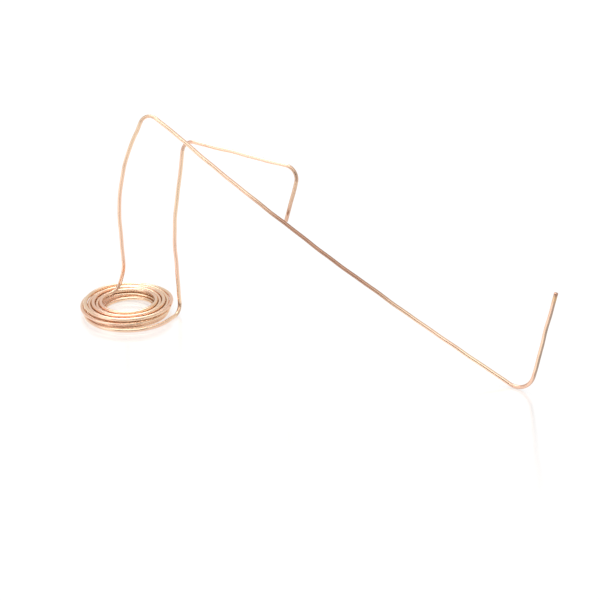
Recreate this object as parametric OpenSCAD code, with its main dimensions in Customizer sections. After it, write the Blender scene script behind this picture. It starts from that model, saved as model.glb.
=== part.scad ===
// Thermocouple lead: one copper tube wound into a three-layer flat coil, with both of its
// ends bent up out of the coil and out to one side. A core wire of another alloy runs
// through the whole tube inside an insulating sleeve, and is welded to the tube at the
// hot end. The coil's axis is Z, the surface it stands on is Z = 0, and the two runs
// point along +X.

/* [Tube] */
// Outside diameter of the copper tube
tube_d = 3; // [2.6:0.1:4]
// Wall of the copper tube
tube_wall = 0.5; // [0.3:0.05:0.7]
// Centreline radius of every tight bend but the far one
bend_r = 9; // [7:0.5:10]
// Centreline radius of the slow sway in each riser
sway_r = 170; // [100:5:200]

/* [Inside the tube] */
// Diameter of the core wire
core_d = 1; // [0.5:0.1:1.2]
// Clearance round the sleeve and round the core
fit_gap = 0.1; // [0.05:0.01:0.15]
// Length of the insulating bush in the cold end
bush_len = 5; // [3:0.5:10]
// Height of the weld that closes the hot end
weld_h = 0.5; // [0.3:0.1:1.2]
// Diameter of the contact on the cold end
contact_d = 1.6; // [1.2:0.1:1.8]
// Height of the contact on the cold end
contact_h = 1.2; // [0.8:0.1:2]

/* [Coil] */
// Centreline radius of the innermost turn
coil_r = 21; // [18:0.5:30]
// Turns in each layer
coil_turns = 5; // [4:1:8]
// Air between neighbouring turns and layers
turn_gap = 0.1; // [0.05:0.05:0.5]
// How far the last half turn swings out from the coil
lead_out = 2.5; // [1:0.5:8]
// Centreline radius of the short arc between the inner riser and the top layer
lead_in_r = 15; // [13:0.5:15.5]
// Angle that this short arc covers
lead_in_angle = 16; // [8:1:24]
// Length along the coil's tangent from the coil to the inner riser's foot corner
inner_foot_run = 9.5; // [9.5:0.5:10.5]
// Length along the coil's tangent from the coil to the outer riser's foot corner
outer_foot_run = 17; // [12:0.5:20]

/* [Long side] */
// Distance from the coil's axis to the upright plane of the long run
long_run_y = 24; // [16:1:26]
// Height of the corner on top of the inner riser
inner_riser_h = 163; // [158:1:200]
// Height of the knee above the corner at the inner riser's foot
inner_knee_h = 19.5; // [18:0.5:26]
// Distance along X from that foot corner to the knee
inner_knee_x = 6; // [4:0.5:8]
// Distance along Y from that foot corner to the knee
inner_knee_y = 1; // [0:0.5:2]
// Centreline radius of the knee
knee_r = 35; // [25:1:45]
// Height of the sway in the inner riser
inner_sway_h = 108; // [80:1:112]
// Distance along X from the foot corner to the sway
inner_sway_x = 3.5; // [1:0.5:6]
// Distance along X from the foot corner to the riser's top corner
inner_lean_x = 27.5; // [20:0.5:32]
// Distance along X from the inner riser's top corner to the middle of the far bend
long_run_reach = 310.5; // [260:0.5:400]
// Distance along X from the inner riser's top corner to the corner of the slow curve
slow_bend_x = 140; // [120:1:180]
// How far the corner of the slow curve hangs below a straight line
long_run_sag = 18; // [10:0.5:20]
// Centreline radius of that slow curve
long_run_r = 2000; // [1000:50:2200]
// Centreline radius of the far bend, which rests on the surface
far_bend_r = 13.5; // [9:0.5:18]
// Rise angle of the tip leg above the horizontal
tip_angle = 80; // [60:1:100]
// Straight length of the tip leg
tip_leg_len = 70; // [40:1:120]

/* [Short side] */
// Distance from the coil's axis to the upright plane of the short run
short_run_y = 33; // [32:1:40]
// Height of the corner on top of the outer riser
outer_riser_h = 141; // [130:1:142]
// Height of the sway in the outer riser
outer_sway_h = 68; // [50:1:80]
// Distance back along X from the outer riser's foot corner to the sway
outer_sway_x = 6; // [4:0.5:9]
// Distance along Y from that foot corner to the sway
outer_sway_y = 3; // [1:0.5:6]
// Distance back along X from that foot corner to the riser's top corner
outer_lean_x = 2; // [0:0.5:5]
// Distance along X between the two corners of the short run
short_run_len = 101; // [70:1:140]
// Drop of the short run from its first corner to its second
short_run_drop = 6.5; // [0:0.5:14]
// Lean of the tail leg from the vertical, back towards the coil
tail_angle = 15; // [0:1:30]
// Straight length of the tail leg
tail_leg_len = 34.5; // [20:0.5:36]

/* [Hidden] */

// Sections, as [outer radius, inner radius]
tube_r = tube_d / 2;
bore_r = tube_r - tube_wall;
TUBE = [tube_r, bore_r];
SLEEVE = [bore_r - fit_gap, core_d / 2 + fit_gap];
CORE = [core_d / 2, 0];
contact_r = contact_d / 2;
contact_chamfer = contact_r / 2;
// Within a node the wall of a bend, or of a tilted half turn, is this much fuller on each
// face than its neighbours' wall, and they run this far into it, so that they join as one
// solid
bend_swell = 0.01;
lap = 0.15;
// How far a cut runs past the face that it opens
cut_over = 1;
section_fn = 48;
arc_fn = 96;
// Bends from slow_arc_r upwards turn so little that they take a finer full circle
slow_arc_r = 100;
slow_arc_fn = 720;
// A leg's direction counts as upright where its Z part is over this
upright_z = 0.9;

// Colours
COPPER = [0.85, 0.56, 0.38];
WELD = [0.74, 0.46, 0.32];
GLASS_FIBRE = [0.93, 0.91, 0.84];
CONSTANTAN = [0.72, 0.71, 0.68];
FIBRE = [0.36, 0.22, 0.16];
SOLDER = [0.78, 0.78, 0.76];

// Coil. Each half turn goes from one side of the coil to the other, counterclockwise as
// seen from above. Each station is [distance from the axis, layer], and the stations lie
// alternately on the -X and the +X side. The top layer goes outwards, crosses down over
// its edge, the middle layer comes back in, crosses down in the eye, and the bottom layer
// goes out again. On the -Y side every other turn of the top layer, from the outermost one
// inwards, rides up by a part of a layer. The middle layer's first station rides up too.
pitch = tube_d + turn_gap;
half_pitch = pitch / 2;
coil_out_r = coil_r + coil_turns * pitch;
TOP = 2;
MIDDLE = 1;
BOTTOM = 0;
RIDE_UP = 0.5;
top_stations = [
  for (k = [0 : 2 * coil_turns - 1])
    [coil_r + k * half_pitch, TOP + (rides_up(2 * coil_turns - 1 - k) ? RIDE_UP : 0)]
];
middle_stations = [
  [coil_out_r, MIDDLE + RIDE_UP],
  for (k = [2 : 2 * coil_turns]) [coil_out_r - k * half_pitch, MIDDLE]
];
bottom_stations = [
  [coil_r - half_pitch, BOTTOM],
  for (k = [1 : 2 * coil_turns - 2]) [coil_r + k * half_pitch, BOTTOM],
  [coil_out_r + lead_out, BOTTOM]
];
stations = concat(top_stations, middle_stations, bottom_stations);
first_middle = len(top_stations);
first_bottom = first_middle + len(middle_stations);
last_station = len(stations) - 1;

// Path of the long side, from the coil's top layer to the hot end, as corner points with
// the bend radius at each
lead_in_start = 180 - lead_in_angle;
lead_in_centre = lead_in_r - coil_r;
lead_in_z = layer_z(stations[0][1]);
inner_start = [
  lead_in_centre + lead_in_r * cos(lead_in_start), lead_in_r * sin(lead_in_start),
  lead_in_z
];
inner_foot = inner_start + inner_foot_run * [sin(lead_in_start), -cos(lead_in_start), 0];
inner_knee = inner_foot + [inner_knee_x, inner_knee_y, inner_knee_h];
inner_sway = [inner_foot[0] + inner_sway_x, inner_foot[1], inner_sway_h];
inner_top = [inner_foot[0] + inner_lean_x, long_run_y, inner_riser_h];
far_centre = [inner_top[0] + long_run_reach, long_run_y, far_bend_r + tube_r];
slow_bend = inner_top
  + (far_centre - inner_top) * slow_bend_x / long_run_reach - [0, 0, long_run_sag];
// The long run ends on the tangent from the slow bend to the under side of the far bend's
// centreline circle, so the far bend rests on the same surface as the coil
to_far = far_centre - slow_bend;
run_angle = atan2(to_far[2], to_far[0]) - asin(far_bend_r / norm(to_far));
far_turn = tip_angle - run_angle;
far_corner = far_centre
  + far_bend_r / cos(far_turn / 2) * upright((run_angle + tip_angle) / 2 - 90);
hot_end = far_corner
  + (far_bend_r * tan(far_turn / 2) + tip_leg_len) * upright(tip_angle);
long_path = [
  inner_start, inner_foot, inner_knee, inner_sway, inner_top, slow_bend, far_corner, hot_end
];
long_radii = [0, bend_r, knee_r, sway_r, bend_r, long_run_r, far_bend_r, 0];

// Path of the short side, from the coil's bottom layer to the cold end
outer_start = [coil_out_r + lead_out, 0, layer_z(BOTTOM)];
outer_foot = outer_start + [0, outer_foot_run, 0];
outer_sway = [outer_foot[0] - outer_sway_x, outer_foot[1] + outer_sway_y, outer_sway_h];
outer_top = [outer_foot[0] - outer_lean_x, short_run_y, outer_riser_h];
tail_corner = outer_top + [short_run_len, 0, -short_run_drop];
short_run_angle = -atan2(short_run_drop, short_run_len);
tail_direction = -90 - tail_angle;
cold_end = tail_corner
  + (bend_r * tan((short_run_angle - tail_direction) / 2) + tail_leg_len)
  * upright(tail_direction);
short_path = [outer_start, outer_foot, outer_sway, outer_top, tail_corner, cold_end];
short_radii = [0, bend_r, sway_r, bend_r, bend_r, 0];

function unit(v) = v / norm(v);
// Unit vector in the XZ plane, at an angle above +X
function upright(angle) = [cos(angle), 0, sin(angle)];
function degrees(radians) = radians * 180 / PI;
function layer_z(layer) = tube_r + layer * pitch;
// Stations go by pairs, one pair to a turn
function rides_up(stations_further_out) = floor(stations_further_out / 2) % 2 == 0;
function direction(path, i) = unit(path[i + 1] - path[i]);
function turn(path, i) = acos(direction(path, i - 1) * direction(path, i));
// Distance from corner i to either end of its bend
function setback(path, radii, i) = radii[i] == 0 ? 0 : radii[i] * tan(turn(path, i) / 2);

// Places its children with their X, Y and Z axes along three given unit vectors
module frame(origin, x, y, z) {
  multmatrix([
    [x[0], y[0], z[0], origin[0]],
    [x[1], y[1], z[1], origin[1]],
    [x[2], y[2], z[2], origin[2]],
    [0, 0, 0, 1]
  ]) children();
}

function fuller(radii) = [radii[0] + bend_swell, radii[1] > 0 ? radii[1] - bend_swell : 0];

module section(radii) {
  difference() {
    circle(r = radii[0], $fn = section_fn);
    if (radii[1] > 0) circle(r = radii[1], $fn = section_fn);
  }
}

function is_level(i) = stations[i][1] == stations[i + 1][1];

// Half turn from station i to the next, tilted where it changes height, and run on by
// lap_in and lap_out at its ends
module half_turn(i, radii, lap_in = 0, lap_out = 0) {
  here = stations[i];
  next = stations[i + 1];
  side = i % 2 == 0 ? -1 : 1;
  drop = (here[1] - next[1]) * pitch;
  tilt = atan2(drop, here[0] + next[0]);
  arc_r = (here[0] + next[0]) / 2 / cos(tilt);
  start = (side < 0 ? 180 : 0) - degrees(lap_in / arc_r);
  angle = 180 + degrees((lap_in + lap_out) / arc_r);
  translate([side * (here[0] - next[0]) / 2, 0, layer_z((here[1] + next[1]) / 2)])
    rotate([0, -side * tilt, 0])
      rotate_extrude(start = start, angle = angle, $fn = arc_fn)
        translate([arc_r, 0]) section(radii);
}

module half_turns(first, last, radii) {
  for (i = [first : last - 1])
    if (is_level(i))
      half_turn(
        i, radii,
        i > first && !is_level(i - 1) ? lap : 0,
        i < last - 1 && !is_level(i + 1) ? lap : 0
      );
    else
      half_turn(i, fuller(radii));
}

module lead_in(radii) {
  translate([lead_in_centre, 0, lead_in_z])
    rotate_extrude(start = lead_in_start, angle = lead_in_angle, $fn = arc_fn)
      translate([lead_in_r, 0]) section(radii);
}

// Straight leg after corner i, run on by lap_in and lap_out into the bends at its ends
module leg(path, corner_radii, i, radii, lap_in, lap_out) {
  along = direction(path, i);
  across = unit(cross(along, abs(along[2]) < upright_z ? [0, 0, 1] : [1, 0, 0]));
  start = path[i] + (setback(path, corner_radii, i) - lap_in) * along;
  end = path[i + 1] - (setback(path, corner_radii, i + 1) - lap_out) * along;
  frame(start, across, cross(along, across), along)
    linear_extrude(height = norm(end - start)) section(radii);
}

module corner(path, corner_radii, i, radii) {
  into = direction(path, i - 1);
  out = direction(path, i);
  inwards = unit(out - (out * into) * into);
  r = corner_radii[i];
  centre = path[i] - setback(path, corner_radii, i) * into + r * inwards;
  frame(centre, -inwards, into, cross(-inwards, into))
    rotate_extrude(angle = turn(path, i), $fn = r < slow_arc_r ? arc_fn : slow_arc_fn)
      translate([r, 0]) section(radii);
}

// Pieces first to last of a path: piece 2i is the leg after corner i, and piece 2i - 1 is
// the bend at corner i
module stretch(path, corner_radii, first, last, radii) {
  full = first < last ? fuller(radii) : radii;
  for (k = [first : last])
    if (k % 2 == 0)
      leg(path, corner_radii, k / 2, radii, k > first ? lap : 0, k < last ? lap : 0);
    else
      corner(path, corner_radii, (k + 1) / 2, full);
}

module long_side(first, last, radii) {
  stretch(long_path, long_radii, first, last, radii);
}

module short_side(first, last, radii) {
  stretch(short_path, short_radii, first, last, radii);
}

module top_layer(radii) {
  lead_in(radii);
  half_turns(0, first_middle - 1, radii);
}

module outer_crossover(radii) {
  half_turn(first_middle - 1, radii);
}

module middle_layer(radii) {
  half_turns(first_middle, first_bottom - 1, radii);
}

module inner_crossover(radii) {
  half_turn(first_bottom - 1, radii);
}

module bottom_layer(radii) {
  half_turns(first_bottom, last_station, radii);
}

// Copper tube, one length in reality
module tube_top_layer() { color(COPPER) top_layer(TUBE); }
module tube_outer_crossover() { color(COPPER) outer_crossover(TUBE); }
module tube_middle_layer() { color(COPPER) middle_layer(TUBE); }
module tube_inner_crossover() { color(COPPER) inner_crossover(TUBE); }
module tube_bottom_layer() { color(COPPER) bottom_layer(TUBE); }
module tube_inner_foot() { color(COPPER) long_side(0, 1, TUBE); }
module tube_inner_riser() { color(COPPER) long_side(2, 6, TUBE); }
module tube_inner_top_bend() { color(COPPER) long_side(7, 7, TUBE); }
module tube_long_run() { color(COPPER) long_side(8, 10, TUBE); }
module tube_far_bend() { color(COPPER) long_side(11, 11, TUBE); }
module tube_tip_leg() { color(COPPER) long_side(12, 12, TUBE); }
module tube_outer_foot() { color(COPPER) short_side(0, 1, TUBE); }
module tube_outer_riser() { color(COPPER) short_side(2, 4, TUBE); }
module tube_outer_top_bend() { color(COPPER) short_side(5, 5, TUBE); }
module tube_short_run() { color(COPPER) short_side(6, 6, TUBE); }
module tube_tail_bend() { color(COPPER) short_side(7, 7, TUBE); }
module tube_tail_leg() { color(COPPER) short_side(8, 8, TUBE); }

// Insulating sleeve, one length in reality
module sleeve_top_layer() { color(GLASS_FIBRE) top_layer(SLEEVE); }
module sleeve_outer_crossover() { color(GLASS_FIBRE) outer_crossover(SLEEVE); }
module sleeve_middle_layer() { color(GLASS_FIBRE) middle_layer(SLEEVE); }
module sleeve_inner_crossover() { color(GLASS_FIBRE) inner_crossover(SLEEVE); }
module sleeve_bottom_layer() { color(GLASS_FIBRE) bottom_layer(SLEEVE); }
module sleeve_long_side() { color(GLASS_FIBRE) long_side(0, 12, SLEEVE); }
module sleeve_short_side() {
  color(GLASS_FIBRE) difference() {
    short_side(0, 8, SLEEVE);
    at_cold_end() translate([0, 0, -bush_len])
      cylinder(r = bore_r, h = bush_len + cut_over, $fn = section_fn);
  }
}

// Core wire, one length in reality
module core_top_layer() { color(CONSTANTAN) top_layer(CORE); }
module core_outer_crossover() { color(CONSTANTAN) outer_crossover(CORE); }
module core_middle_layer() { color(CONSTANTAN) middle_layer(CORE); }
module core_inner_crossover() { color(CONSTANTAN) inner_crossover(CORE); }
module core_bottom_layer() { color(CONSTANTAN) bottom_layer(CORE); }
module core_long_side() { color(CONSTANTAN) long_side(0, 12, CORE); }
module core_short_side() { color(CONSTANTAN) short_side(0, 8, CORE); }

// Frames whose +Z points out of each end of the tube
module at_hot_end() {
  translate(hot_end) rotate([0, 90 - tip_angle, 0]) children();
}

module at_cold_end() {
  translate(cold_end) rotate([0, 90 - tail_direction, 0]) children();
}

// Weld over the tube's end, which joins the core to it
module hot_junction_weld() {
  dome_r = (tube_r * tube_r + weld_h * weld_h) / (2 * weld_h);
  color(WELD) at_hot_end() intersection() {
    cylinder(r = tube_r, h = weld_h, $fn = section_fn);
    translate([0, 0, weld_h - dome_r]) sphere(r = dome_r, $fn = arc_fn);
  }
}

// Bush between the tube and the core, flush with the tube's end
module end_bush() {
  color(FIBRE) at_cold_end() translate([0, 0, -bush_len])
    linear_extrude(height = bush_len) section(SLEEVE);
}

module contact_tip() {
  color(SOLDER) at_cold_end() {
    cylinder(r = contact_r, h = contact_h - contact_chamfer, $fn = section_fn);
    translate([0, 0, contact_h - contact_chamfer]) cylinder(
      r1 = contact_r, r2 = contact_r - contact_chamfer, h = contact_chamfer, $fn = section_fn
    );
  }
}

tube_top_layer();
tube_outer_crossover();
tube_middle_layer();
tube_inner_crossover();
tube_bottom_layer();
tube_inner_foot();
tube_inner_riser();
tube_inner_top_bend();
tube_long_run();
tube_far_bend();
tube_tip_leg();
tube_outer_foot();
tube_outer_riser();
tube_outer_top_bend();
tube_short_run();
tube_tail_bend();
tube_tail_leg();
sleeve_top_layer();
sleeve_outer_crossover();
sleeve_middle_layer();
sleeve_inner_crossover();
sleeve_bottom_layer();
sleeve_long_side();
sleeve_short_side();
core_top_layer();
core_outer_crossover();
core_middle_layer();
core_inner_crossover();
core_bottom_layer();
core_long_side();
core_short_side();
hot_junction_weld();
end_bush();
contact_tip();
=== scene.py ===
"""Looks of the thermocouple lead: one copper tube swept along its whole route, with the
weld, sleeve, core wire, bush and contact that it holds, on a pale light table in soft
studio light. All lengths are in metres."""

import math

import bpy
import numpy as np
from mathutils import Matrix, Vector


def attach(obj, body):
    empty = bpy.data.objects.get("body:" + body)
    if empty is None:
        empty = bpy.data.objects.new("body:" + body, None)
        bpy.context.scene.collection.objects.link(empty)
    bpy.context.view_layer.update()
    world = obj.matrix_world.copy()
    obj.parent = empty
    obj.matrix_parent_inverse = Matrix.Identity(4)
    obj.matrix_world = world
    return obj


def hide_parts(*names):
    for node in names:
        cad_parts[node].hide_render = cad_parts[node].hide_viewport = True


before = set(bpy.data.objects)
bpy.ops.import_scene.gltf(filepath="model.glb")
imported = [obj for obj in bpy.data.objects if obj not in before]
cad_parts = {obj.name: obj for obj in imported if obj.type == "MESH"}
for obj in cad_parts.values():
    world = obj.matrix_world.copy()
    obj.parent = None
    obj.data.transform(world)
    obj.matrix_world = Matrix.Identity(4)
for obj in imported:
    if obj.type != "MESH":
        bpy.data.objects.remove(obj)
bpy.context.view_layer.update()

MM = 0.001

# Sections
TUBE_R = 1.5 * MM
BORE_R = 1.0 * MM
SLEEVE_R = 0.9 * MM
SLEEVE_BORE_R = 0.6 * MM
CORE_R = 0.5 * MM

# Coil
COIL_R = 21 * MM
COIL_TURNS = 5
PITCH = 3.1 * MM
RIDE_UP = 0.5
LEAD_OUT = 2.5 * MM
LEAD_IN_R = 15 * MM
LEAD_IN_ANGLE = 16
INNER_FOOT_RUN = 9.5 * MM
OUTER_FOOT_RUN = 17 * MM

# Long side
BEND_R = 9 * MM
KNEE_R = 35 * MM
SWAY_R = 170 * MM
LONG_RUN_R = 2000 * MM
FAR_BEND_R = 13.5 * MM
LONG_RUN_Y = 24 * MM
INNER_RISER_H = 163 * MM
INNER_KNEE = np.array([6, 1, 19.5]) * MM
INNER_SWAY_X = 3.5 * MM
INNER_SWAY_H = 108 * MM
INNER_LEAN_X = 27.5 * MM
LONG_RUN_REACH = 310.5 * MM
SLOW_BEND_X = 140 * MM
LONG_RUN_SAG = 18 * MM
TIP_ANGLE = 80
TIP_LEG = 70 * MM

# Short side
SHORT_RUN_Y = 33 * MM
OUTER_RISER_H = 141 * MM
OUTER_SWAY = np.array([-6, 3]) * MM
OUTER_SWAY_H = 68 * MM
OUTER_LEAN_X = 2 * MM
SHORT_RUN = 101 * MM
SHORT_RUN_DROP = 6.5 * MM
TAIL_ANGLE = 15
TAIL_LEG = 34.5 * MM

# Ends
BUSH_LENGTH = 5 * MM
WELD_H = 0.5 * MM
CONTACT_R = 0.8 * MM
CONTACT_H = 1.2 * MM
EDGE_R = 0.12 * MM

# How fine the route is traced, and how far apart the rings of a swept surface may be
TRACE_STEP = 0.25 * MM
CURVE_STEP = 0.2 * MM
RING_SHARE = 0.055
RING_MIN = 0.25 * MM
RING_MAX = 2.5 * MM
TUBE_SIDES = 36
SLEEVE_SIDES = 18
CORE_SIDES = 14
# Points of the route that lie closer together than this count as one
SAME_POINT = 1e-7
# How strongly a bend flattens the tube
BEND_FLATTENING = 2.4

X_AXIS = np.array([1.0, 0.0, 0.0])
Y_AXIS = np.array([0.0, 1.0, 0.0])
Z_AXIS = np.array([0.0, 0.0, 1.0])


# ---------------------------------------------------------------------- route


def unit(vectors):
    """Each vector divided by its own length."""
    return vectors / np.linalg.norm(vectors, axis=-1, keepdims=True)


def dot(a, b):
    """Scalar product, row by row, kept as a column."""
    return np.sum(a * b, axis=-1, keepdims=True)


def upright(degrees):
    """Unit vector in the XZ plane, at an angle above +X."""
    angle = math.radians(degrees)
    return np.array([math.cos(angle), 0.0, math.sin(angle)])


def layer_z(layer):
    """Height of a layer's centreline: a tube radius and as many pitches as layers below."""
    return TUBE_R + layer * PITCH


def circle_arc(centre, towards_start, forwards, radius, angle):
    """centre + radius (cos t towards_start + sin t forwards), for t from 0 to angle."""
    steps = max(3, int(radius * angle / CURVE_STEP))
    t = np.linspace(0, angle, steps)[:, None]
    return centre + radius * (np.cos(t) * towards_start + np.sin(t) * forwards)


def coil_stations():
    """(distance from the axis, layer) at each half turn, on the -X and +X side by turns:
    the top layer grows outwards, the middle one shrinks, the bottom one grows again. Every
    other turn of the top layer, from the outermost one inwards, rides up on the -Y side,
    and so does the middle layer's first station."""
    outermost = COIL_R + COIL_TURNS * PITCH
    half, count = PITCH / 2, 2 * COIL_TURNS
    high = [RIDE_UP * ((count - 1 - k) // 2 % 2 == 0) for k in range(count)]
    top = [(COIL_R + k * half, 2 + high[k]) for k in range(count)]
    middle = [(outermost - k * half, 1) for k in range(2, count + 1)]
    bottom = [(COIL_R + k * half, 0) for k in range(1, count - 1)]
    return [
        *top, (outermost, 1 + RIDE_UP), *middle,
        (COIL_R - half, 0), *bottom, (outermost + LEAD_OUT, 0),
    ]


LEAD_IN_Z = layer_z(coil_stations()[0][1])


def half_turn(number, here, there):
    """Half circle between two stations on opposite sides, about the point midway between
    them, tilted where they lie in different layers."""
    side = -1.0 if number % 2 == 0 else 1.0
    start = np.array([side * here[0], 0.0, layer_z(here[1])])
    end = np.array([-side * there[0], 0.0, layer_z(there[1])])
    centre = (start + end) / 2
    towards_start = unit(start - centre)
    radius = float(np.linalg.norm(start - centre))
    return circle_arc(centre, towards_start, side * Y_AXIS, radius, math.pi)


def coil_route():
    """The short lead-in arc and every half turn, joined end to end."""
    first = math.radians(180 - LEAD_IN_ANGLE)
    centre = np.array([LEAD_IN_R - COIL_R, 0.0, LEAD_IN_Z])
    towards_start = np.array([math.cos(first), math.sin(first), 0.0])
    forwards = np.array([-math.sin(first), math.cos(first), 0.0])
    lead_in = circle_arc(
        centre, towards_start, forwards, LEAD_IN_R, math.radians(LEAD_IN_ANGLE)
    )
    stations = coil_stations()
    turns = [half_turn(i, *pair) for i, pair in enumerate(zip(stations, stations[1:]))]
    return np.vstack([lead_in, *turns])


def rounded_route(corners, radii, sides):
    """Straight legs between corners, with a tangent arc of the given radius at each. A
    side vector comes with each point: it is a corner's own over its whole arc."""
    points, vectors = [corners[:1]], [sides[:1]]
    for k in range(1, len(corners) - 1):
        before = unit(corners[k] - corners[k - 1])
        after = unit(corners[k + 1] - corners[k])
        turn = math.acos(float(before @ after))
        inwards = unit(after - (after @ before) * before)
        start = corners[k] - radii[k] * math.tan(turn / 2) * before
        arc = circle_arc(
            start + radii[k] * inwards, -inwards, before, radii[k], turn
        )
        points.append(arc)
        vectors.append(np.repeat(sides[k:k + 1], len(arc), axis=0))
    points.append(corners[-1:])
    vectors.append(sides[-1:])
    return np.vstack(points), np.vstack(vectors)


def long_side():
    """Route from the coil's top layer up the inner riser, down the long run, round the
    far bend and up the tip leg to the hot end."""
    first = math.radians(180 - LEAD_IN_ANGLE)
    outwards = np.array([math.cos(first), math.sin(first), 0.0])
    start = LEAD_IN_R * outwards + [LEAD_IN_R - COIL_R, 0.0, LEAD_IN_Z]
    foot = start + INNER_FOOT_RUN * np.array([math.sin(first), -math.cos(first), 0.0])
    knee = foot + INNER_KNEE
    sway = np.array([foot[0] + INNER_SWAY_X, foot[1], INNER_SWAY_H])
    top = np.array([foot[0] + INNER_LEAN_X, LONG_RUN_Y, INNER_RISER_H])
    far_centre = np.array([top[0] + LONG_RUN_REACH, LONG_RUN_Y, FAR_BEND_R + TUBE_R])
    slow = top + (far_centre - top) * SLOW_BEND_X / LONG_RUN_REACH - LONG_RUN_SAG * Z_AXIS
    to_far = far_centre - slow
    run_angle = math.degrees(
        math.atan2(to_far[2], to_far[0]) - math.asin(FAR_BEND_R / np.linalg.norm(to_far))
    )
    half_bend = math.radians((TIP_ANGLE - run_angle) / 2)
    far_corner = far_centre + FAR_BEND_R / math.cos(half_bend) * upright(
        (run_angle + TIP_ANGLE) / 2 - 90
    )
    tip_run = FAR_BEND_R * math.tan(half_bend) + TIP_LEG
    hot_end = far_corner + tip_run * upright(TIP_ANGLE)
    corners = np.array([start, foot, knee, sway, top, slow, far_corner, hot_end])
    radii = [0, BEND_R, KNEE_R, SWAY_R, BEND_R, LONG_RUN_R, FAR_BEND_R, 0]
    sides = np.array([outwards, outwards, -X_AXIS, -X_AXIS] + [Y_AXIS] * 4)
    return rounded_route(corners, radii, sides)


def short_side():
    """Route from the coil's bottom layer up the outer riser, along the short run and down
    the tail leg to the cold end."""
    start = np.array([COIL_R + COIL_TURNS * PITCH + LEAD_OUT, 0.0, layer_z(0)])
    foot = start + OUTER_FOOT_RUN * Y_AXIS
    sway = np.array([foot[0] + OUTER_SWAY[0], foot[1] + OUTER_SWAY[1], OUTER_SWAY_H])
    top = np.array([foot[0] - OUTER_LEAN_X, SHORT_RUN_Y, OUTER_RISER_H])
    tail = top + [SHORT_RUN, 0.0, -SHORT_RUN_DROP]
    run_angle = -math.degrees(math.atan2(SHORT_RUN_DROP, SHORT_RUN))
    half_bend = math.radians((run_angle + 90 + TAIL_ANGLE) / 2)
    down = upright(-90 - TAIL_ANGLE)
    cold_end = tail + (BEND_R * math.tan(half_bend) + TAIL_LEG) * down
    corners = np.array([start, foot, sway, top, tail, cold_end])
    radii = [0, BEND_R, SWAY_R, BEND_R, BEND_R, 0]
    sides = np.array([X_AXIS] * 3 + [Y_AXIS] * 3)
    return rounded_route(corners, radii, sides)


def smoothed(values, length):
    """Each column averaged along the route with a bell of the given half width."""
    reach = int(length / TRACE_STEP)
    bell = np.exp(-np.linspace(-2, 2, 2 * reach + 1) ** 2)
    bell /= bell.sum()
    padded = np.pad(values, ((reach, reach), (0, 0)), mode="edge")
    columns = [np.convolve(column, bell, mode="valid") for column in padded.T]
    return np.stack(columns, axis=1)


def smoothstep(x):
    """0 below 0, 1 above 1, and 3 x^2 - 2 x^3 between."""
    x = np.clip(x, 0, 1)
    return x * x * (3 - 2 * x)


def waves(along, lengths, phases):
    """Mean of sine waves of the given wavelengths."""
    turns = along[:, None] / np.array(lengths) + np.array(phases)
    return np.sin(2 * math.pi * turns).mean(axis=1)


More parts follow.
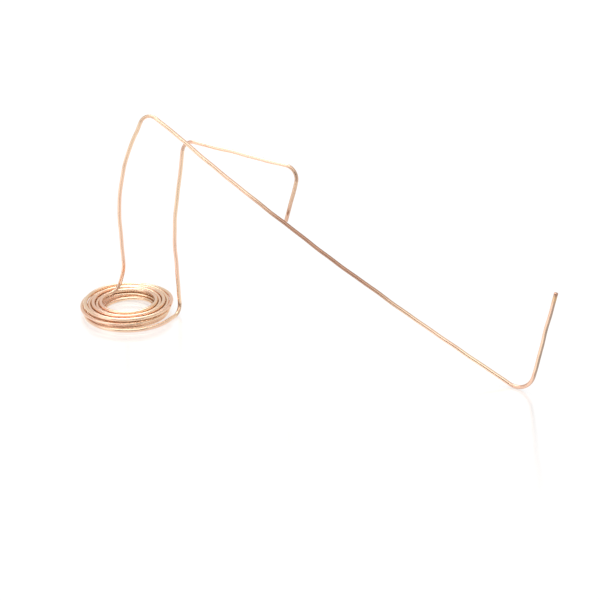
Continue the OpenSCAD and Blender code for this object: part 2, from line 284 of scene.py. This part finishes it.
class Route:
    """The tube's centreline from the hot end to the cold end, traced at even steps, with
    its length so far, tangent, side vector, curvature and softened tightness of the bend
    at each point."""

    WANDER_FREE = 0.35 * MM
    WANDER_COIL = 0.05 * MM
    END_HOLD = 25 * MM
    FREE_OVER = 30 * MM
    CURVATURE_SOFTENED = 2 * MM
    TIGHTNESS_SOFTENED = 5 * MM

    def __init__(self):
        long_points, long_vectors = long_side()
        coil = coil_route()
        short_points, short_vectors = short_side()
        points = np.vstack([long_points[::-1], coil, short_points])
        vectors = np.vstack([
            long_vectors[::-1], unit(coil * [1, 1, 0]), short_vectors,
        ])
        steps = np.linalg.norm(np.diff(points, axis=0), axis=1)
        kept = np.r_[True, steps > SAME_POINT]
        points, vectors = points[kept], vectors[kept]
        length = np.r_[0, np.cumsum(np.linalg.norm(np.diff(points, axis=0), axis=1))]
        self.total = float(length[-1])
        self.along = np.linspace(0, self.total, int(self.total / TRACE_STEP) + 1)
        self.point = self.sampled(self.along, length, points)
        side = self.sampled(self.along, length, vectors)
        self.coil_span = [
            float(length[len(long_points) - 1]), float(length[-len(short_points)]),
        ]
        self.frame_on(side)
        self.wander()
        self.frame_on(side)
        bend = np.gradient(self.tangent, self.along, axis=0)
        self.curvature = smoothed(bend, self.CURVATURE_SOFTENED)
        tightness = np.linalg.norm(self.curvature, axis=1, keepdims=True)
        self.tightness = smoothed(tightness, self.TIGHTNESS_SOFTENED)[:, 0]

    @staticmethod
    def sampled(at, along, columns):
        """Columns known at the lengths in along, read off in straight lines at the
        lengths in at."""
        return np.stack([np.interp(at, along, c) for c in columns.T], axis=1)

    def frame_on(self, side):
        """Tangent, side vector square to it, and their cross product."""
        self.tangent = unit(np.gradient(self.point, self.along, axis=0))
        self.side = unit(side - dot(side, self.tangent) * self.tangent)
        self.rise = np.cross(self.tangent, self.side)

    def wander(self):
        """Moves the centreline sideways by slow waves, small in the coil and none at the
        ends, as tube that was bent by hand wanders."""
        start, end = self.coil_span
        outside = np.maximum(start - self.along, self.along - end)
        free = smoothstep(outside / self.FREE_OVER)
        to_end = np.minimum(self.along, self.total - self.along)
        size = self.WANDER_COIL + (self.WANDER_FREE - self.WANDER_COIL) * free
        size = (size * smoothstep(to_end / self.END_HOLD))[:, None]
        lengths = [97 * MM, 61 * MM, 38 * MM, 23 * MM]
        sideways = waves(self.along, lengths, [0.1, 0.45, 0.8, 0.3])
        upwards = waves(self.along, lengths, [0.6, 0.2, 0.95, 0.5])
        self.point = self.point + size * (
            sideways[:, None] * self.side + upwards[:, None] * self.rise
        )

    def rings_at(self, coarseness=1.0, start=0.0, end=None):
        """Lengths at which a swept surface has its rings: they stand closer together the
        tighter the route bends, in proportion to the bend's radius."""
        end = self.total if end is None else end
        bend = np.linalg.norm(self.curvature, axis=1)
        gap = np.clip(RING_SHARE / np.maximum(bend, 1e-6) + RING_MIN, 0, RING_MAX)
        count = np.r_[0, np.cumsum(TRACE_STEP / (coarseness * gap[1:]))]
        first, last = np.interp([start, end], self.along, count)
        places = np.linspace(first, last, int(last - first) + 2)
        return np.interp(places, count, self.along)


ROUTE = Route()


# --------------------------------------------------------------------- meshes


def swept_rings(at, radius, sides, flatten=0.0):
    """Rings of points round the route: point + radius (cos a side + sin a rise). Where the
    route bends, a ring narrows in the bend's plane and widens across it, by flatten times
    the square of radius over bend radius, and its outer half is flattened once more."""
    centre, side, rise, bend = [
        Route.sampled(at, ROUTE.along, columns)[:, None, :]
        for columns in (ROUTE.point, ROUTE.side, ROUTE.rise, ROUTE.curvature)
    ]
    angle = 2 * math.pi * np.arange(sides) / sides
    outwards = np.cos(angle)[None, :, None] * side + np.sin(angle)[None, :, None] * rise
    tightness = np.maximum(np.linalg.norm(bend, axis=2, keepdims=True), 1e-6)
    inwards = dot(outwards, bend / tightness)
    give = flatten * (TUBE_R * tightness) ** 2
    outer_half = np.clip(-inwards, 0, 1) ** 2
    shape = 1 + give * (0.5 - 1.5 * inwards ** 2 - 0.6 * outer_half)
    return centre + np.asarray(radius).reshape(-1, 1, 1) * shape * outwards


def grid_object(name, rings, closed, lay, cap=False, bend=None):
    """Mesh object from rings of points, each ring joined to the next, and the last to the
    first if closed. cap closes the two end rings with a flat face. lay is a vector and
    bend a number stored at each point, and the UV map is the place round and along."""
    count, sides = rings.shape[:2]
    ring = np.arange(count if closed else count - 1)[:, None]
    across = np.arange(sides)[None, :]
    after, beside = (ring + 1) % count, (across + 1) % sides
    quads = np.stack([
        ring * sides + across, ring * sides + beside,
        after * sides + beside, after * sides + across,
    ], axis=2).reshape(-1, 4)
    faces = quads.tolist()
    if cap:
        faces.append(list(range(sides))[::-1])
        faces.append(list(range((count - 1) * sides, count * sides)))
    mesh = bpy.data.meshes.new(name)
    mesh.from_pydata(rings.reshape(-1, 3), [], faces)
    u = np.stack([across, across + 1, across + 1, across], axis=2) / sides
    v = np.stack([ring, ring, ring + 1, ring + 1], axis=2) / count
    uv = np.stack(np.broadcast_arrays(u, v), axis=3).reshape(-1, 2)
    uv = np.vstack([uv, np.zeros((len(mesh.loops) - len(uv), 2))])
    mesh.uv_layers.new(name="around_and_along").data.foreach_set("uv", uv.ravel())
    stored = mesh.attributes.new("lay", "FLOAT_VECTOR", "POINT")
    stored.data.foreach_set("vector", lay.reshape(-1).astype(np.float32))
    if bend is not None:
        stored = mesh.attributes.new("bend", "FLOAT", "POINT")
        stored.data.foreach_set("value", np.repeat(bend, sides).astype(np.float32))
    mesh.polygons.foreach_set("use_smooth", np.ones(len(mesh.polygons), bool))
    mesh.set_sharp_from_angle(angle=math.radians(40))
    piece = bpy.data.objects.new(name, mesh)
    bpy.context.scene.collection.objects.link(piece)
    return piece


def laid_along(at, radius, sides):
    """Pattern space of a swept surface: across its section in X and Y, and along its
    length in Z."""
    angle = 2 * math.pi * np.arange(sides) / sides
    radius = np.broadcast_to(np.asarray(radius, float), at.shape)
    lay = np.empty((len(at), sides, 3))
    lay[..., 0] = radius[:, None] * np.cos(angle)
    lay[..., 1] = radius[:, None] * np.sin(angle)
    lay[..., 2] = at[:, None]
    return lay


def rounded_ends(at, radius, edge, start, end):
    """Lengths and radii of a surface whose two ends have quarter-round edges."""
    quarter = np.linspace(0, math.pi / 2, 5)
    run_in, drop = edge * (1 - np.cos(quarter)), edge * (1 - np.sin(quarter))
    middle = at[(at > start + 1.5 * edge) & (at < end - 1.5 * edge)]
    lengths = np.r_[start + run_in, middle, (end - run_in)[::-1]]
    radii = np.r_[radius - drop, np.full(len(middle), radius), (radius - drop)[::-1]]
    return lengths, radii


def hollow_sweep(name, outer_r, inner_r, sides, coarseness, start, end, flatten, edge):
    """Closed wall between an outer and an inner swept surface, with rounded outer edges:
    its rings run along the outside and come back along the bore."""
    out_at, out_r = rounded_ends(
        ROUTE.rings_at(coarseness, start, end), outer_r, edge, start, end
    )
    in_at = ROUTE.rings_at(3 * coarseness, start, end)[::-1]
    rings = np.vstack([
        swept_rings(out_at, out_r, sides, flatten),
        swept_rings(in_at, inner_r, sides, flatten),
    ])
    lay = np.vstack([
        laid_along(out_at, out_r, sides), laid_along(in_at, inner_r, sides),
    ])
    bend = BEND_R * np.interp(np.r_[out_at, in_at], ROUTE.along, ROUTE.tightness)
    return grid_object(name, rings, True, lay, bend=bend)


def copper_tube():
    """The whole tube, flattened a little in its bends."""
    return hollow_sweep(
        "copper_tube", TUBE_R, BORE_R, TUBE_SIDES, 1.0, 0.0, ROUTE.total,
        BEND_FLATTENING, EDGE_R,
    )


def insulating_sleeve():
    """The sleeve, which stops where the bush begins."""
    end = ROUTE.total - BUSH_LENGTH
    return hollow_sweep(
        "insulating_sleeve", SLEEVE_R, SLEEVE_BORE_R, SLEEVE_SIDES, 1.2,
        0.0, end, 0.0, EDGE_R / 2,
    )


def core_wire():
    """The core, a plain round wire with flat ends."""
    at = ROUTE.rings_at(1.2)
    return grid_object(
        "core_wire", swept_rings(at, CORE_R, CORE_SIDES), False,
        laid_along(at, CORE_R, CORE_SIDES), cap=True,
    )


def turned(name, end, away, profile, ripple=None, sides=TUBE_SIDES):
    """Surface of revolution about the tube's own axis at one end: each profile row is
    (radius, height above the tube's face). ripple(angle, radius) is added to the height."""
    centre, side, rise = (
        Route.sampled(np.array([end]), ROUTE.along, columns)[0]
        for columns in (ROUTE.point, ROUTE.side, ROUTE.rise)
    )
    angle = 2 * math.pi * np.arange(sides)[None, :, None] / sides
    radius, height = (profile[:, k][:, None, None] for k in (0, 1))
    if ripple is not None:
        height = height + ripple(angle, radius)
    turn = 1.0 if dot(np.cross(side, rise), away)[0] > 0 else -1.0
    rings = centre + radius * (
        np.cos(angle) * side + turn * np.sin(angle) * rise
    ) + height * away
    lay = np.concatenate(np.broadcast_arrays(
        radius * np.cos(angle), radius * np.sin(angle), height + 0 * angle
    ), axis=2)
    return grid_object(name, rings, False, lay, cap=True)


def hot_junction_weld():
    """Low dome of fused copper: height times (1 - (r / R)^2) to the power 0.6, with faint
    rings where it froze, on a rim that meets the tube's own rounded edge."""
    dome = np.sin(np.linspace(0, math.pi / 2, 14))[::-1]
    radius = np.r_[(TUBE_R - EDGE_R / 3) * dome[:-1], 0.04 * TUBE_R]
    height = WELD_H * (1 - (radius / TUBE_R) ** 2) ** 0.6
    profile = np.column_stack([radius, height])
    profile = np.vstack([[TUBE_R - EDGE_R, 0.0], profile])

    def freeze_rings(angle, radius):
        """Three rings, uneven round the bead, that fade at the rim."""
        inside = np.clip(1 - radius / TUBE_R, 0, 1)
        rings = np.sin(3 * 2 * math.pi * radius / TUBE_R + 0.8 * np.sin(angle))
        lobes = np.sin(2 * angle + 1) * np.sin(math.pi * radius / TUBE_R)
        return inside ** 0.5 * (0.012 * rings + 0.02 * lobes) * MM

    return turned("weld_bead", 0.0, -ROUTE.tangent[0], profile, freeze_rings)


def end_bush():
    """Fibre ring in the cold end, flush with the tube's face."""
    chamfer = 0.06 * MM
    start = ROUTE.total - BUSH_LENGTH
    at = np.linspace(start, ROUTE.total, 12)
    out_at, out_r = rounded_ends(at, SLEEVE_R, chamfer, start, ROUTE.total)
    rings = np.vstack([
        swept_rings(out_at, out_r, TUBE_SIDES),
        swept_rings(at[::-1], SLEEVE_BORE_R, TUBE_SIDES),
    ])
    lay = np.vstack([
        laid_along(out_at, out_r, TUBE_SIDES),
        laid_along(at[::-1], SLEEVE_BORE_R, TUBE_SIDES),
    ])
    return grid_object("bush_ring", rings, True, lay)


def contact_tip():
    """Solder button: upright wall, round shoulder and a slightly domed top."""
    shoulder = CONTACT_R / 2
    turn = np.linspace(0, math.pi / 2, 8)
    radius = CONTACT_R - shoulder * (1 - np.cos(turn))
    height = CONTACT_H - shoulder + 0.9 * shoulder * np.sin(turn)
    crown = np.linspace(0.8, 0.1, 6)
    profile = np.vstack([
        [CONTACT_R - EDGE_R, 0.0], [CONTACT_R, EDGE_R / 2],
        np.column_stack([radius, height]),
        np.column_stack([
            crown * radius[-1], CONTACT_H - 0.1 * shoulder * crown ** 2,
        ]),
    ])
    return turned("contact_button", ROUTE.total, ROUTE.tangent[-1], profile)


# ------------------------------------------------------------------ materials


class Value:
    """One output socket. Arithmetic on it adds Math nodes to its tree."""

    def __init__(self, socket):
        self.socket = socket

    def math(self, operation, *terms):
        """Adds a Math node to this value's tree. Only the terms go into it."""
        node = self.socket.id_data.nodes.new("ShaderNodeMath")
        node.operation = operation
        for entry, term in zip(node.inputs, terms):
            plug(entry, term)
        return Value(node.outputs[0])

    def __add__(self, other):
        return self.math("ADD", self, other)

    def __sub__(self, other):
        return self.math("SUBTRACT", self, other)

    def __rsub__(self, other):
        return self.math("SUBTRACT", other, self)

    def __mul__(self, other):
        return self.math("MULTIPLY", self, other)

    def __truediv__(self, other):
        return self.math("DIVIDE", self, other)

    def __pow__(self, other):
        return self.math("POWER", self, other)

    __radd__ = __add__
    __rmul__ = __mul__


def sine(value):
    """Sine of a value in radians."""
    return value.math("SINE", value)


def plug(entry, value):
    """Links a Value to an input socket, or sets a plain number, vector or colour on it."""
    if isinstance(value, Value):
        entry.id_data.links.new(value.socket, entry)
    elif entry.type == "RGBA":
        entry.default_value = (*value, 1.0)
    else:
        entry.default_value = value


class Finish:
    """A material written as expressions. Its constants go on the shader's own sockets."""

    def __init__(self, name, **constants):
        self.material = bpy.data.materials.new(name)
        self.material.use_nodes = True
        self.tree = self.material.node_tree
        self.shader = self.tree.nodes["Principled BSDF"]
        for socket, value in constants.items():
            self.set(socket.replace("_", " ").title(), value)

    def set(self, socket, value):
        """Gives one of the shader's sockets a constant or a Value."""
        plug(self.shader.inputs[socket], value)

    def node(self, kind, sockets, output=0, stops=None, **settings):
        """Adds a node: first its settings, then the values or links of its sockets."""
        node = self.tree.nodes.new("ShaderNode" + kind)
        for name, value in settings.items():
            setattr(node, name, value)
        for place, colour in stops or []:
            element = node.color_ramp.elements.new(place)
            element.color = (*colour, 1.0)
        entries = {entry.identifier: entry for entry in node.inputs}
        for name, value in sockets.items():
            plug(entries[name], value)
        return Value(node.outputs[output])

    def lay(self):
        """Place in the piece's own pattern space."""
        return self.node("Attribute", {}, output=1, attribute_name="lay")

    def scaled(self, vector, sizes):
        """The vector with each part divided by its size, so 1 is one such length."""
        return self.node(
            "VectorMath",
            {"Vector": vector, "Vector_001": [1 / size for size in sizes]},
            operation="MULTIPLY",
        )

    def part(self, vector, axis):
        """One part of a vector: 0, 1 or 2."""
        return self.node("SeparateXYZ", {"Vector": vector}, output=axis)

    def noise(self, vector, detail=2.0, roughness=0.5):
        """Soft noise, about one lump per unit, from about 0.25 to 0.75."""
        return self.node(
            "TexNoise",
            {"Vector": vector, "Scale": 1.0, "Detail": detail, "Roughness": roughness},
        )

    def step(self, value, low, high):
        """0 below low, 1 above high, smooth between."""
        return self.node(
            "MapRange", {"Value": value, "From Min": low, "From Max": high},
            interpolation_type="SMOOTHSTEP",
        )

    def mix(self, factor, first, second):
        """Colour between two colours."""
        return self.node(
            "Mix", {"Factor_Float": factor, "A_Color": first, "B_Color": second},
            output=2, data_type="RGBA",
        )

    def bump(self, height, depth):
        """Sets the normal from a height from 0 to 1 that stands for a depth in metres."""
        self.set("Normal", self.node("Bump", {"Height": height, "Distance": depth}))


ROSE_COPPER = (0.90, 0.60, 0.45)
GOLD_COPPER = (0.92, 0.68, 0.48)
# Tarnish colour, also used for the painted dark reflection on the long run
TARNISH_AND_SHADE = (0.40, 0.22, 0.15)
STRAW_TINT = (0.66, 0.42, 0.20)
PURPLE_TINT = (0.28, 0.13, 0.13)
# Colour of the painted shade on one side of the tip leg
SIDE_SHADE_COLOUR = (0.30, 0.23, 0.19)

# The long run is browner in the middle of its length, a painted dark reflection
BROWN_FROM, BROWN_FULL = 150 * MM, 235 * MM
BROWN_ENDS, BRIGHT_FROM = 300 * MM, 350 * MM
# One side of the tip leg is darkened by painted shade, centred this many degrees round from
# the leg's side vector
SHADED_SIDE_ANGLE = 129
SIDE_SHADE_FULL, SIDE_SHADE_ENDS = 62 * MM, 84 * MM
# The last length before the cold end is darker and duller
DULL_TAIL = 48 * MM


def drawn_copper():
    """Bright drawn tube: fine lines along it, slow changes between rose and gold, thin
    patches of tarnish, a few dark specks, duller bends and tail, a browner stretch of the
    long run as a painted dark reflection, one side of the tip leg darkened by painted
    shade, and heat colours beside the weld."""
    f = Finish("drawn_copper", metallic=1.0)
    lay = f.lay()
    to_weld = f.part(lay, 2)
    bent = f.step(f.node("Attribute", {}, output=2, attribute_name="bend"), 0.45, 0.8)
    lines = f.noise(f.scaled(lay, (0.22 * MM, 0.22 * MM, 26 * MM)), detail=3)
    scratches = f.noise(f.scaled(lay, (0.07 * MM, 0.07 * MM, 5 * MM)), detail=1)
    drift = f.noise(f.scaled(lay, (6 * MM, 6 * MM, 55 * MM)), detail=1)
    cloud = f.noise(f.scaled(lay, (2.2 * MM, 2.2 * MM, 9 * MM)), detail=4, roughness=0.6)
    grain = f.noise(f.scaled(lay, (0.25 * MM, 0.25 * MM, 0.4 * MM)), detail=2)

    # Painted dark reflection: a browner, rougher stretch of the long run
    painted_dark_stretch = f.step(to_weld, BROWN_FROM, BROWN_FULL)
    painted_dark_stretch = painted_dark_stretch * (1 - f.step(to_weld, BROWN_ENDS, BRIGHT_FROM))
    # Painted shade: one side of the tip leg is darker, up to about the far bend
    shaded_side = math.radians(SHADED_SIDE_ANGLE)
    towards = f.part(lay, 0) * math.cos(shaded_side) + f.part(lay, 1) * math.sin(shaded_side)
    painted_side_shade = f.step(towards + 0.6 * MM * (cloud - 0.5), 0.7 * TUBE_R, 0.98 * TUBE_R)
    painted_side_shade = painted_side_shade * (1 - f.step(to_weld, SIDE_SHADE_FULL, SIDE_SHADE_ENDS))
    # Darker, duller last length before the cold end
    dull_tail = f.step(to_weld, ROUTE.total - DULL_TAIL, ROUTE.total - 0.6 * DULL_TAIL)
    tarnished = f.step(cloud, 0.5, 0.78)
    specks = f.step(grain, 0.68, 0.76)
    colour = f.mix(f.step(drift, 0.35, 0.65), ROSE_COPPER, GOLD_COPPER)
    colour = f.mix(tarnished * 0.3, colour, TARNISH_AND_SHADE)
    colour = f.mix(f.step(lines, 0.55, 0.8) * 0.12, colour, TARNISH_AND_SHADE)
    colour = f.mix(bent * 0.35 + dull_tail * 0.45, colour, TARNISH_AND_SHADE)
    # Painted dark reflection on the long run
    colour = f.mix(painted_dark_stretch * 0.92, colour, TARNISH_AND_SHADE)
    colour = f.mix(specks * 0.4, colour, TARNISH_AND_SHADE)
    # Painted shade on one side of the tip leg
    colour = f.mix(painted_side_shade * 0.85, colour, SIDE_SHADE_COLOUR)
    colour = f.mix(0.6 * (1 - f.step(to_weld, 3 * MM, 11 * MM)), colour, STRAW_TINT)
    colour = f.mix(0.6 * (1 - f.step(to_weld, 0.5 * MM, 3.5 * MM)), colour, PURPLE_TINT)
    f.set("Base Color", colour)
    f.set("Roughness", 0.15 + 0.16 * tarnished + 0.12 * lines + 0.12 * bent + 0.12 * painted_dark_stretch)
    f.bump(0.7 * lines + 0.3 * scratches, 0.004 * MM)
    return f.material


def fused_copper():
    """Weld bead: darker, duller copper with oxide in its hollows."""
    f = Finish("fused_copper", metallic=1.0)
    lay = f.lay()
    cloud = f.noise(f.scaled(lay, (0.5 * MM,) * 3), detail=4, roughness=0.6)
    grain = f.noise(f.scaled(lay, (0.06 * MM,) * 3), detail=2)
    oxide = f.step(cloud, 0.4, 0.7)
    colour = f.mix(oxide, (0.66, 0.40, 0.28), (0.30, 0.16, 0.13))
    f.set("Base Color", colour)
    f.set("Roughness", 0.32 + 0.25 * oxide)
    f.bump(0.6 * cloud + 0.4 * grain, 0.02 * MM)
    return f.material


def braided_glass():
    """Glass-fibre sleeve: two sets of yarns that cross, off-white and slightly yellowed."""
    f = Finish("braided_glass", roughness=0.75, sheen_weight=0.2)
    lay = f.lay()
    around = 2 * math.pi * f.part(f.node("UVMap", {}), 0)
    climb = f.part(lay, 2) * (2 * math.pi / (2.4 * MM))
    yarns = 8
    left = sine(around * yarns + climb * 2)
    right = sine(around * yarns - climb * 2)
    fibres = f.noise(f.scaled(lay, (0.03 * MM, 0.03 * MM, 0.3 * MM)), detail=2)
    weave = left * right * 0.5 + 0.5
    cloud = f.noise(f.scaled(lay, (3 * MM, 3 * MM, 12 * MM)), detail=2)
    colour = f.mix(f.step(cloud, 0.35, 0.7), (0.86, 0.83, 0.74), (0.78, 0.72, 0.58))
    colour = f.mix(f.step(weave, 0.0, 0.5) * 0.8 + 0.2, (0.45, 0.40, 0.31), colour)
    f.set("Base Color", colour)
    f.bump(0.75 * weave + 0.25 * fibres, 0.05 * MM)
    return f.material


def drawn_constantan():
    """Core wire: grey, faintly warm, with lines along it."""
    f = Finish("drawn_constantan", metallic=1.0)
    lay = f.lay()
    lines = f.noise(f.scaled(lay, (0.08 * MM, 0.08 * MM, 12 * MM)), detail=3)
    cloud = f.noise(f.scaled(lay, (1 * MM, 1 * MM, 6 * MM)), detail=3)
    colour = f.mix(f.step(cloud, 0.35, 0.7), (0.56, 0.53, 0.49), (0.44, 0.41, 0.37))
    f.set("Base Color", colour)
    f.set("Roughness", 0.26 + 0.2 * lines)
    f.bump(lines, 0.005 * MM)
    return f.material


def red_fibre():
    """Vulcanised fibre: reddish brown, matt, in thin rolled layers."""
    f = Finish("red_fibre")
    lay = f.lay()
    spread = f.node("VectorMath", {"Vector": lay}, output=1, operation="LENGTH")
    grain = f.noise(f.scaled(lay, (0.06 * MM, 0.06 * MM, 0.5 * MM)), detail=4)
    cloud = f.noise(f.scaled(lay, (0.5 * MM,) * 3), detail=2)
    colour = f.mix(f.step(cloud, 0.35, 0.65), (0.13, 0.045, 0.026), (0.19, 0.075, 0.04))
    colour = f.mix(f.step(grain, 0.5, 0.75) * 0.5, colour, (0.30, 0.15, 0.09))
    f.set("Base Color", colour)
    f.set("Roughness", 0.6 + 0.25 * grain)
    f.bump(0.7 * grain + 0.3 * spread, 0.02 * MM)
    return f.material


def tinned_solder():
    """Solder: pale grey, bright, with soft frosting."""
    f = Finish("tinned_solder", metallic=1.0)
    lay = f.lay()
    frost = f.noise(f.scaled(lay, (0.2 * MM,) * 3), detail=4, roughness=0.65)
    dull = f.step(frost, 0.42, 0.68)
    f.set("Base Color", f.mix(dull, (0.68, 0.67, 0.64), (0.50, 0.49, 0.46)))
    f.set("Roughness", 0.18 + 0.3 * dull)
    f.bump(frost, 0.02 * MM)
    return f.material


# --------------------------------------------------------------------- pieces

TUBE_NODES = sorted(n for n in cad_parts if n.startswith("tube_"))
SLEEVE_NODES = sorted(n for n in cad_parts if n.startswith("sleeve_"))
CORE_NODES = sorted(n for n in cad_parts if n.startswith("core_"))


def place(piece, material, slot, nodes):
    """Gives a piece its finish and puts it on the body in place of its CAD nodes. The slot
    is not used."""
    piece.data.materials.append(material)
    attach(piece, "root")
    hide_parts(*nodes)


place(copper_tube(), drawn_copper(), "copper", TUBE_NODES)
place(hot_junction_weld(), fused_copper(), "copper_weld", ["hot_junction_weld"])
place(insulating_sleeve(), braided_glass(), "glass_fibre", SLEEVE_NODES)
place(core_wire(), drawn_constantan(), "constantan", CORE_NODES)
place(end_bush(), red_fibre(), "fibre_bush", ["end_bush"])
place(contact_tip(), tinned_solder(), "solder", ["contact_tip"])


# ---------------------------------------------------------------------- stage

FLOOR_SIZE = 12.0
FLOOR_GLOW = 0.60
# The floor lies this far below the lead, so that their faces don't coincide
FLOOR_DROP = 0.02 * MM
ROOM_RADIANCE = 0.81
LEAD_MIDDLE = Vector((0.12, 0.0, 0.05))
LIGHT_DISTANCE = 3.0
CARD_DISTANCE = 2.6

LENS = 96
SENSOR_WIDTH = 36
CAMERA_PLACE = (0.6634, -0.9546, 0.5533)
CAMERA_FORWARD = Vector((-0.4248, 0.7989, -0.4258))


def stage_sheet(name, material, width, depth):
    """Flat rectangle in its own XY plane, centred on its origin."""
    x, y = width / 2, depth / 2
    mesh = bpy.data.meshes.new(name)
    mesh.from_pydata([(-x, -y, 0), (x, -y, 0), (x, y, 0), (-x, y, 0)], [], [(0, 1, 2, 3)])
    mesh.materials.append(material)
    sheet = bpy.data.objects.new(name, mesh)
    bpy.context.scene.collection.objects.link(sheet)
    return sheet


def facing(thing, bearing, elevation, distance):
    """Puts a thing at a bearing, in degrees to the right of +Y, an elevation and a distance
    from the middle of the lead, with its front towards it."""
    b, e = math.radians(bearing), math.radians(elevation)
    away = Vector((math.sin(b) * math.cos(e), math.cos(b) * math.cos(e), math.sin(e)))
    thing.location = LEAD_MIDDLE + distance * away
    thing.rotation_euler = away.to_track_quat("Z", "Y").to_euler()


def light_table():
    """Broad white sheet under the lead, lit softly from below, with a glossy top."""
    f = Finish("white_acrylic", base_color=(0.20, 0.20, 0.20), roughness=0.16)
    f.set("IOR", 3.4)
    f.set("Emission Color", (1.0, 1.0, 1.0))
    f.set("Emission Strength", FLOOR_GLOW)
    floor = stage_sheet("light_table", f.material, FLOOR_SIZE, FLOOR_SIZE)
    floor.location.z = -FLOOR_DROP


def dark_card():
    """Dark card that stands low behind the camera. Only reflections show it."""
    f = Finish("dark_card", base_color=(0.05, 0.05, 0.05), roughness=0.9)
    card = stage_sheet("dark_card", f.material, 4.4, 1.5)
    facing(card, 152, 19, CARD_DISTANCE)
    card.visible_camera = False


def softbox(name, bearing, elevation, width, height, radiance):
    """Rectangular light. Its power is radiance times pi times its area."""
    lamp = bpy.data.lights.new(name, "AREA")
    lamp.shape = "RECTANGLE"
    lamp.size, lamp.size_y = width, height
    lamp.energy = radiance * math.pi * width * height
    box = bpy.data.objects.new(name, lamp)
    facing(box, bearing, elevation, LIGHT_DISTANCE)
    bpy.context.scene.collection.objects.link(box)


def studio():
    """Bright room with softboxes above the camera, to its left, and above and behind the
    lead."""
    world = bpy.data.worlds.new("studio")
    world.use_nodes = True
    room = world.node_tree.nodes["Background"]
    room.inputs["Color"].default_value = (1.0, 1.0, 1.0, 1.0)
    room.inputs["Strength"].default_value = ROOM_RADIANCE
    bpy.context.scene.world = world
    softbox("front_softbox", 165, 50, 3.6, 2.2, 1.15)
    softbox("back_softbox", -42, 64, 2.0, 2.1, 3.2)
    softbox("left_softbox", 212, 24, 1.8, 1.6, 1.1)


def camera():
    """Long lens, looking down at the lead from the front right."""
    lens = bpy.data.cameras.new("camera")
    lens.lens = LENS
    lens.sensor_width = SENSOR_WIDTH
    view = bpy.data.objects.new("camera", lens)
    view.location = CAMERA_PLACE
    view.rotation_euler = CAMERA_FORWARD.to_track_quat("-Z", "Y").to_euler()
    bpy.context.scene.collection.objects.link(view)
    bpy.context.scene.camera = view


camera()
light_table()
dark_card()
studio()
bpy.context.scene.view_settings.view_transform = "Standard"
